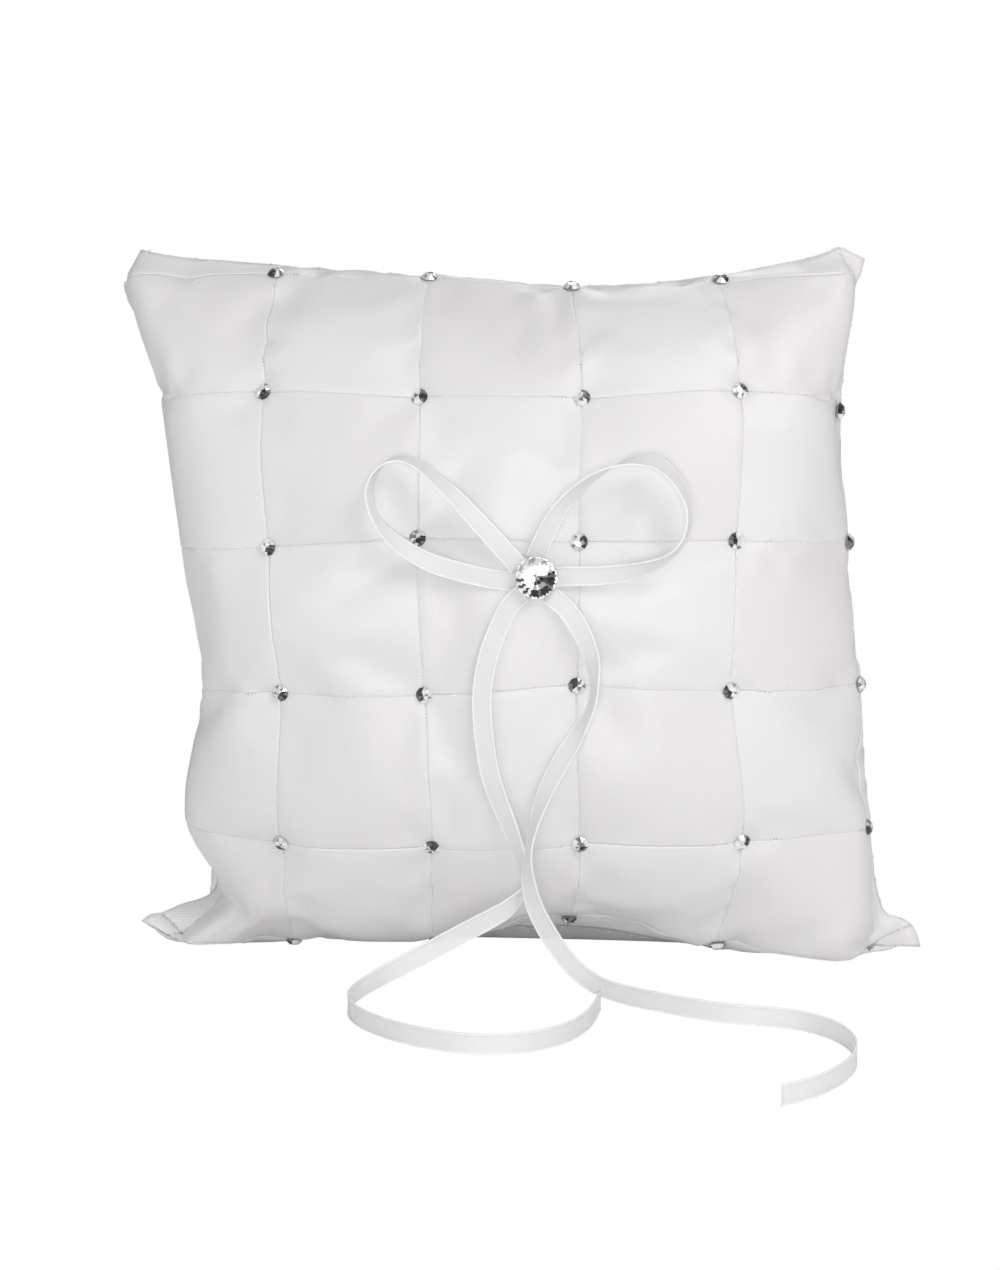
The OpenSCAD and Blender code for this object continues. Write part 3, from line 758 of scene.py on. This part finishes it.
def layWide(own, upright):
    low, high = stripSpan(own)
    if 0 < own < 6:
        share = np.array([0, 0.012, 0.035, 0.08, 0.16, 0.26, 0.38, 0.5, 0.62, 0.74, 0.84, 0.92, 0.965, 0.988, 1])
    else:
        share = np.linspace(0, 1, 6)
    acrossLine = low + (high - low) * share
    alongLine = alongPlaces(own, upright)
    if upright:
        across, along = np.meshgrid(acrossLine, alongLine)
        u, v = across / cushion["half"], along / cushion["half"]
    else:
        along, across = np.meshgrid(alongLine, acrossLine)
        u, v = along / cushion["half"], across / cushion["half"]
    lift = liftAlong(own, upright, along)
    place = np.clip((across - low) / (high - low), 0, 1)
    crown = weave["crown"] * (1 - (2 * place - 1) ** 4) if 0 < own < 6 else 0
    outer = overFront(u, v, lift + weave["thickness"] + crown)
    inner = overFront(u, v, lift + crown)
    outer[..., 2] = np.maximum(outer[..., 2], 0.0004)
    inner[..., 2] = np.maximum(inner[..., 2], 0.0006)
    cloth = np.stack([across, along], -1).reshape(-1, 2)
    r, c = u.shape
    name = f"ribbon_{'upright' if upright else 'cross'}_{own + 1 if upright else 7 - own}"
    piece = buildPiece(name + "_satin", np.concatenate([outer.reshape(-1, 3), inner.reshape(-1, 3)]),
                       shellFaces(r, c), uprightSatin if upright else crossSatinPaintedShade, np.tile(cloth, (2, 1)))
    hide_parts(name)
    picots = sewPicots(name + "_picots", own, upright, low, high)
    return piece


# Row of small thread loops along both selvages, where the ribbon lies on top
def sewPicots(name, own, upright, low, high):
    edges = ([(low, -1)] if own > 0 else []) + ([(high, 1)] if own < 6 else [])
    across, along, out = [], [], []
    for j in range(7):
        if not onTop(own, j, upright):
            continue
        start = -cushion["half"] + 0.001 if j == 0 else (j - 3.5) * cushion["pitch"] + 0.0002
        end = cushion["half"] - 0.001 if j == 6 else (j - 2.5) * cushion["pitch"] - 0.0002
        count = max(2, int((end - start) / weave["picotPitch"]))
        for edge, sign in edges:
            for k in range(count):
                along.append(start + (end - start) * (k + 0.5) / count)
                across.append(edge)
                out.append(sign)
    across, along, out = np.array(across), np.array(along), np.array(out)
    reach = weave["picotReach"] / cushion["half"]
    wide = weave["picotHalfWidth"] / cushion["half"]

    def place(acrossBy, alongBy, lift):
        a = across / cushion["half"] + out * acrossBy
        b = along / cushion["half"] + alongBy
        return overFront(a, b, np.full(len(a), lift)) if upright else overFront(b, a, np.full(len(a), lift))

    middle = weave["over"] + weave["thickness"] / 2
    corners = np.stack([
        place(-0.5 * reach, 0, middle + 0.00002), place(1.2 * reach, 0, middle),
        place(0.35 * reach, wide, middle), place(0.35 * reach, -wide, middle),
        place(0.4 * reach, 0, middle + weave["picotHalfThick"] + 0.00006),
        place(0.4 * reach, 0, middle - weave["picotHalfThick"])], 1)
    points = corners.reshape(-1, 3)
    shape = [(0, 2, 4), (2, 1, 4), (1, 3, 4), (3, 0, 4), (2, 0, 5), (1, 2, 5), (3, 1, 5), (0, 3, 5)]
    faces = []
    for k in range(len(across)):
        flip = (out[k] > 0) == upright
        for a, b, c in shape:
            faces.append((6 * k + a, 6 * k + c, 6 * k + b) if flip else (6 * k + a, 6 * k + b, 6 * k + c))
    points[:, 2] = np.maximum(points[:, 2], 0.0003)
    piece = buildPiece(name, points, faces, picotCloth, smooth=True)
    return piece


for own in range(7):
    layWide(own, True)
for own in range(7):
    layWide(own, False)
print("weave laid")


# Crystals

stones = {"radius": 0.00212, "height": 0.0013, "sides": 10, "lift": 0.00078}
bigStone = {"radius": 0.0050, "height": 0.0036, "sides": 16, "cup": 0.0016}


def facesWhere(obj, test):
    form = bmesh.from_edit_mesh(obj.data)
    for face in form.faces:
        face.select = test(face.calc_center_median(), face.normal)
    form.select_flush_mode()
    bmesh.update_edit_mesh(obj.data)


# Stores a painted light value per face, which the facet materials show as painted reflections
def paintFacetLight(mesh, rule):
    layer = mesh.attributes.new("facet_painted_light", "FLOAT", "FACE")
    layer.data.foreach_set("value", [rule(p) for p in mesh.polygons])


# Flat-backed stone: a girdle, a crown of turned triangles and a flat table
def cutStone():
    bpy.ops.object.select_all(action="DESELECT")
    bpy.ops.mesh.primitive_cylinder_add(vertices=stones["sides"], radius=stones["radius"] * 0.92,
                                        depth=stones["height"] * 0.3, location=(0, 0, stones["height"] * 0.15))
    stone = bpy.context.object
    bpy.ops.object.transform_apply(location=True, rotation=True, scale=True)
    bpy.ops.object.mode_set(mode="EDIT")
    bpy.ops.mesh.select_mode(type="FACE")
    facesWhere(stone, lambda centre, normal: normal.z > 0.9)
    bpy.ops.transform.resize(value=(1.087, 1.087, 1))
    bpy.ops.mesh.extrude_region_move(TRANSFORM_OT_translate={"value": (0, 0, stones["height"] * 0.7)})
    bpy.ops.transform.resize(value=(0.56, 0.56, 1))
    bpy.ops.transform.rotate(value=math.pi / stones["sides"], orient_axis="Z", center_override=(0, 0, 0))
    bpy.ops.mesh.select_all(action="SELECT")
    bpy.ops.mesh.select_all(action="SELECT")
    facesWhere(stone, lambda centre, normal: abs(normal.z) < 0.95)
    bpy.ops.mesh.quads_convert_to_tris()
    facesWhere(stone, lambda centre, normal: normal.z > 0.95)
    bpy.ops.mesh.poke(offset=0.00006)
    bpy.ops.object.mode_set(mode="OBJECT")
    return stone


# Painted reflections on a small crystal: facets painted bright on one side and dark on the other, with a painted dark
# rim
def paintedStoneReflection(p, paintedDarkSide, paintedDarkHalf):
    if p.center.z < stones["height"] * 0.31:
        return 0.3
    away = abs((math.atan2(p.center.y, p.center.x) - paintedDarkSide + math.pi) % (2 * math.pi) - math.pi)
    if away < paintedDarkHalf:
        return random.choice((0.0, 0.02, 0.06, 0.2))
    return random.choice((0.75, 0.9, 1.0, 1.0, 0.25))


def placeOn(point, normal, turn=0.0):
    spin = Matrix.Rotation(turn, 4, "Z")
    face = Vector(normal).to_track_quat("Z", "Y").to_matrix().to_4x4()
    return Matrix.Translation(Vector(point)) @ face @ spin


master = cutStone()
for row in range(1, 7):
    v = (3.5 - row) * cushion["pitch"] / cushion["half"]
    copies = []
    for i in range(1, 7):
        u = (i - 3.5) * cushion["pitch"] / cushion["half"]
        at = overFront(np.array([u]), np.array([v]), np.array([stones["lift"]]))[0]
        facing = skinNormal(frontSkin, np.array([u]), np.array([v]), 1)[0]
        if row == 6 and i in (1, 2, 3, 6):      # under the turned lower edge
            facing = np.array([0, -0.3, -0.95])
            at = at + np.array([0, 0.0015 if i in (1, 6) else 0.001, -0.0006])
        if row == 1 and i in (1, 6):            # round the upper corners
            facing = np.array([-0.6 if i == 1 else 0.6, 0.8, 0.1])
            at = at + np.array([0.002 if i == 1 else -0.002, 0.002, 0])
        mesh = master.data.copy()
        # Each stone gets its own painted dark side
        paintedDarkSide = random.uniform(-math.pi, math.pi)
        paintFacetLight(mesh, lambda p: paintedStoneReflection(p, paintedDarkSide, random.uniform(0.9, 1.4)))
        mesh.transform(placeOn(at, facing))
        lowest = min(p.co.z for p in mesh.vertices)
        if lowest < 0.0003:
            mesh.transform(Matrix.Translation((0, 0, 0.0003 - lowest)))
        copy = bpy.data.objects.new("stone", mesh)
        bpy.context.scene.collection.objects.link(copy)
        copies.append(copy)
    bpy.ops.object.select_all(action="DESELECT")
    for copy in copies:
        copy.select_set(True)
    bpy.context.view_layer.objects.active = copies[0]
    bpy.ops.object.join()
    piece = bpy.context.object
    piece.name = f"crystal_row_{row}_stones"
    piece.data.materials.clear()
    piece.data.materials.append(stonePaintedReflections)
    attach(piece, "root")
    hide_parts(f"crystal_row_{row}")
bpy.data.objects.remove(master)
print("small crystals set")


# Faceted silver cup behind the large crystal
def foilCup():
    bpy.ops.object.select_all(action="DESELECT")
    n, r = bigStone["sides"], bigStone["radius"]
    bpy.ops.mesh.primitive_cylinder_add(vertices=n, radius=r * 0.42, depth=0.0003, location=(0, 0, 0.00015))
    cup = bpy.context.object
    bpy.ops.object.transform_apply(location=True, rotation=True, scale=True)
    bpy.ops.object.mode_set(mode="EDIT")
    bpy.ops.mesh.select_mode(type="FACE")
    facesWhere(cup, lambda centre, normal: normal.z > 0.9)
    bpy.ops.mesh.extrude_region_move(TRANSFORM_OT_translate={"value": (0, 0, bigStone["cup"])})
    bpy.ops.transform.resize(value=(2.38, 2.38, 1))
    bpy.ops.transform.rotate(value=math.pi / n, orient_axis="Z", center_override=(0, 0, 0))
    bpy.ops.mesh.inset(thickness=0.00025)
    bpy.ops.mesh.extrude_region_move(TRANSFORM_OT_translate={"value": (0, 0, -0.0014)})
    bpy.ops.transform.resize(value=(0.40, 0.40, 1))
    bpy.ops.transform.rotate(value=math.pi / n, orient_axis="Z", center_override=(0, 0, 0))
    facesWhere(cup, lambda centre, normal: abs(normal.z) < 0.97)
    bpy.ops.mesh.quads_convert_to_tris()
    bpy.ops.object.mode_set(mode="OBJECT")
    return cup


# Large stone: pavilion in the cup, girdle, two rings of crown facets and a table
def bigCrystal():
    bpy.ops.object.select_all(action="DESELECT")
    n, r = bigStone["sides"], bigStone["radius"]
    bpy.ops.mesh.primitive_cylinder_add(vertices=n, radius=r * 0.34, depth=0.0003, location=(0, 0, 0.0008))
    stone = bpy.context.object
    bpy.ops.object.transform_apply(location=True, rotation=True, scale=True)
    bpy.ops.object.mode_set(mode="EDIT")
    bpy.ops.mesh.select_mode(type="FACE")
    facesWhere(stone, lambda centre, normal: normal.z > 0.9)
    bpy.ops.mesh.extrude_region_move(TRANSFORM_OT_translate={"value": (0, 0, 0.0010)})
    bpy.ops.transform.resize(value=(2.9, 2.9, 1))
    bpy.ops.mesh.extrude_region_move(TRANSFORM_OT_translate={"value": (0, 0, 0.0003)})
    bpy.ops.mesh.extrude_region_move(TRANSFORM_OT_translate={"value": (0, 0, 0.0007)})
    bpy.ops.transform.resize(value=(0.80, 0.80, 1))
    bpy.ops.transform.rotate(value=math.pi / n, orient_axis="Z", center_override=(0, 0, 0))
    bpy.ops.mesh.extrude_region_move(TRANSFORM_OT_translate={"value": (0, 0, 0.0005)})
    bpy.ops.transform.resize(value=(0.74, 0.74, 1))
    bpy.ops.transform.rotate(value=math.pi / n, orient_axis="Z", center_override=(0, 0, 0))
    bpy.ops.mesh.inset(thickness=0.0012, depth=-0.00005)
    bpy.ops.mesh.poke(offset=-0.0002)
    bpy.ops.mesh.select_all(action="DESELECT")
    facesWhere(stone, lambda centre, normal: centre.z > 0.0026)
    bpy.ops.mesh.subdivide(number_cuts=1)
    bpy.ops.mesh.select_all(action="SELECT")
    bpy.ops.mesh.quads_convert_to_tris()
    bpy.ops.object.mode_set(mode="OBJECT")
    return stone


# Painted reflections on the large crystal, painted per face: a pale table above, a dark fan below on the right, dark
# and bright spokes below on the left
def paintedBigCrystalReflection(p):
    angle = math.degrees(math.atan2(p.center.y, p.center.x))
    reach = math.hypot(p.center.x, p.center.y) / bigStone["radius"]
    if p.center.z < 0.0024 or reach > 0.93:
        return 0.85 if int(angle // 15) % 3 else 0.4
    if reach < 0.22:
        return 0.75 if int(angle // 45) % 2 else 0.15
    if -112 < angle < 12:
        return 0.0 if int(angle // 11) % 4 else 0.16
    if angle > 165 or angle <= -112:
        return 1.0 if int(angle // 11.25) % 2 else 0.06
    return 0.93 if reach < 0.72 else (0.95 if int(angle // 22) % 2 else 0.5)


def finishPiece(piece, name, material, node, matrix):
    piece.name = name
    piece.data.transform(matrix)
    piece.data.materials.clear()
    piece.data.materials.append(material)
    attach(piece, "root")
    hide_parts(node)
    return piece


toFront = placeOn((bow["front"][0], bow["front"][1] - 0.0001, bow["front"][2]), (0.02, -1, 0.06), 0.1)
cup = finishPiece(foilCup(), "foil_cup", foilPaintedGlints, "crystal_foil", toFront)
# Painted glints: the foil cup's facets get random painted bright and dark values
paintFacetLight(cup.data, lambda p: random.choice((0.15, 0.4, 0.8, 1.0, 0.95)))
gem = bigCrystal()
paintFacetLight(gem.data, paintedBigCrystalReflection)
finishPiece(gem, "large_crystal", crystalPaintedReflections, "centre_crystal", toFront)


# Stitched middle of the bow: ribbon wound into a small soft drum
def wrapTack():
    bpy.ops.object.select_all(action="DESELECT")
    bpy.ops.mesh.primitive_cylinder_add(vertices=40, radius=0.0029, depth=0.0022, location=(0, 0, -0.0011))
    drum = bpy.context.object
    bpy.ops.object.transform_apply(location=True, rotation=True, scale=True)
    bpy.ops.object.mode_set(mode="EDIT")
    bpy.ops.mesh.select_mode(type="FACE")
    facesWhere(drum, lambda centre, normal: abs(normal.z) > 0.9)
    bpy.ops.mesh.inset(thickness=0.0005)
    bpy.ops.mesh.inset(thickness=0.0008, depth=-0.0003)
    bpy.ops.object.mode_set(mode="OBJECT")
    bevel = drum.modifiers.new("soften", "BEVEL")
    bevel.width = 0.0004
    bevel.segments = 2
    bpy.context.view_layer.objects.active = drum
    bpy.ops.object.modifier_apply(modifier="soften")
    for v in drum.data.vertices:
        angle = math.atan2(v.co.y, v.co.x)
        v.co.xy *= 1 + 0.035 * math.cos(5 * angle + 900 * v.co.z)
    bpy.ops.object.shade_smooth_by_angle(angle=math.radians(40))
    return drum


tack = finishPiece(wrapTack(), "bow_middle", threadCotton, "bow_tack",
                   placeOn(bow["front"], (0, -1, 0)))
print("bow middle and large crystal ready")


# Stitches

sewing = {"pitch": 0.006, "closingPitch": 0.003, "closingLength": 0.080, "radius": 0.00016, "length": 0.0017}


def stitchMaster():
    bpy.ops.object.select_all(action="DESELECT")
    bpy.ops.mesh.primitive_cylinder_add(vertices=8, radius=sewing["radius"], depth=sewing["length"],
                                        location=(0, 0, 0), rotation=(math.radians(90), 0, 0))
    thread = bpy.context.object
    bpy.ops.object.transform_apply(location=True, rotation=True, scale=True)
    bpy.ops.object.mode_set(mode="EDIT")
    bpy.ops.mesh.select_mode(type="FACE")
    facesWhere(thread, lambda centre, normal: abs(normal.y) > 0.9)
    bpy.ops.mesh.inset(thickness=0.00006, depth=0.00005)
    bpy.ops.object.mode_set(mode="OBJECT")
    return thread


# Point on the seam and the way out of it
def seamPlace(t, edge):
    u, v = {"top": (t, 1.0), "bottom": (t, -1.0), "right": (1.0, t), "left": (-1.0, t)}[edge]
    at = skinAt(frontSkin, np.array([u]), np.array([v]))[0]
    out = {"top": (0, 0, 1), "bottom": (0, 0, -1), "right": (1, 0, 0), "left": (-1, 0, 0)}[edge]
    return Vector(at), Vector(out)


def sewLine(name, node, places):
    thread = stitchMaster()
    copies = []
    for t, edge in places:
        at, out = seamPlace(t, edge)
        at = at + out * 0.00078
        at.z = max(at.z, sewing["radius"] + 0.0002)
        mesh = thread.data.copy()
        mesh.transform(Matrix.Translation(at))
        copy = bpy.data.objects.new("stitch", mesh)
        bpy.context.scene.collection.objects.link(copy)
        copies.append(copy)
    bpy.data.objects.remove(thread)
    bpy.ops.object.select_all(action="DESELECT")
    for copy in copies:
        copy.select_set(True)
    bpy.context.view_layer.objects.active = copies[0]
    bpy.ops.object.join()
    return finishPiece(bpy.context.object, name, threadCotton, node, Matrix())


steps = int(cushion["half"] * 0.9 / sewing["pitch"])
seamPlaces = []
for k in range(-steps, steps + 1):
    t = k * sewing["pitch"] / cushion["half"]
    seamPlaces.append((t, "top"))
    if t > -0.8:
        seamPlaces += [(t, "right"), (t, "left")]
sewLine("seam_thread", "seam_stitches", seamPlaces)
closing = int(sewing["closingLength"] / 2 / sewing["closingPitch"])
sewLine("closing_thread", "closing_stitches",
        [(k * sewing["closingPitch"] / cushion["half"], "bottom") for k in range(-closing, closing + 1)])
print("stitches sewn")
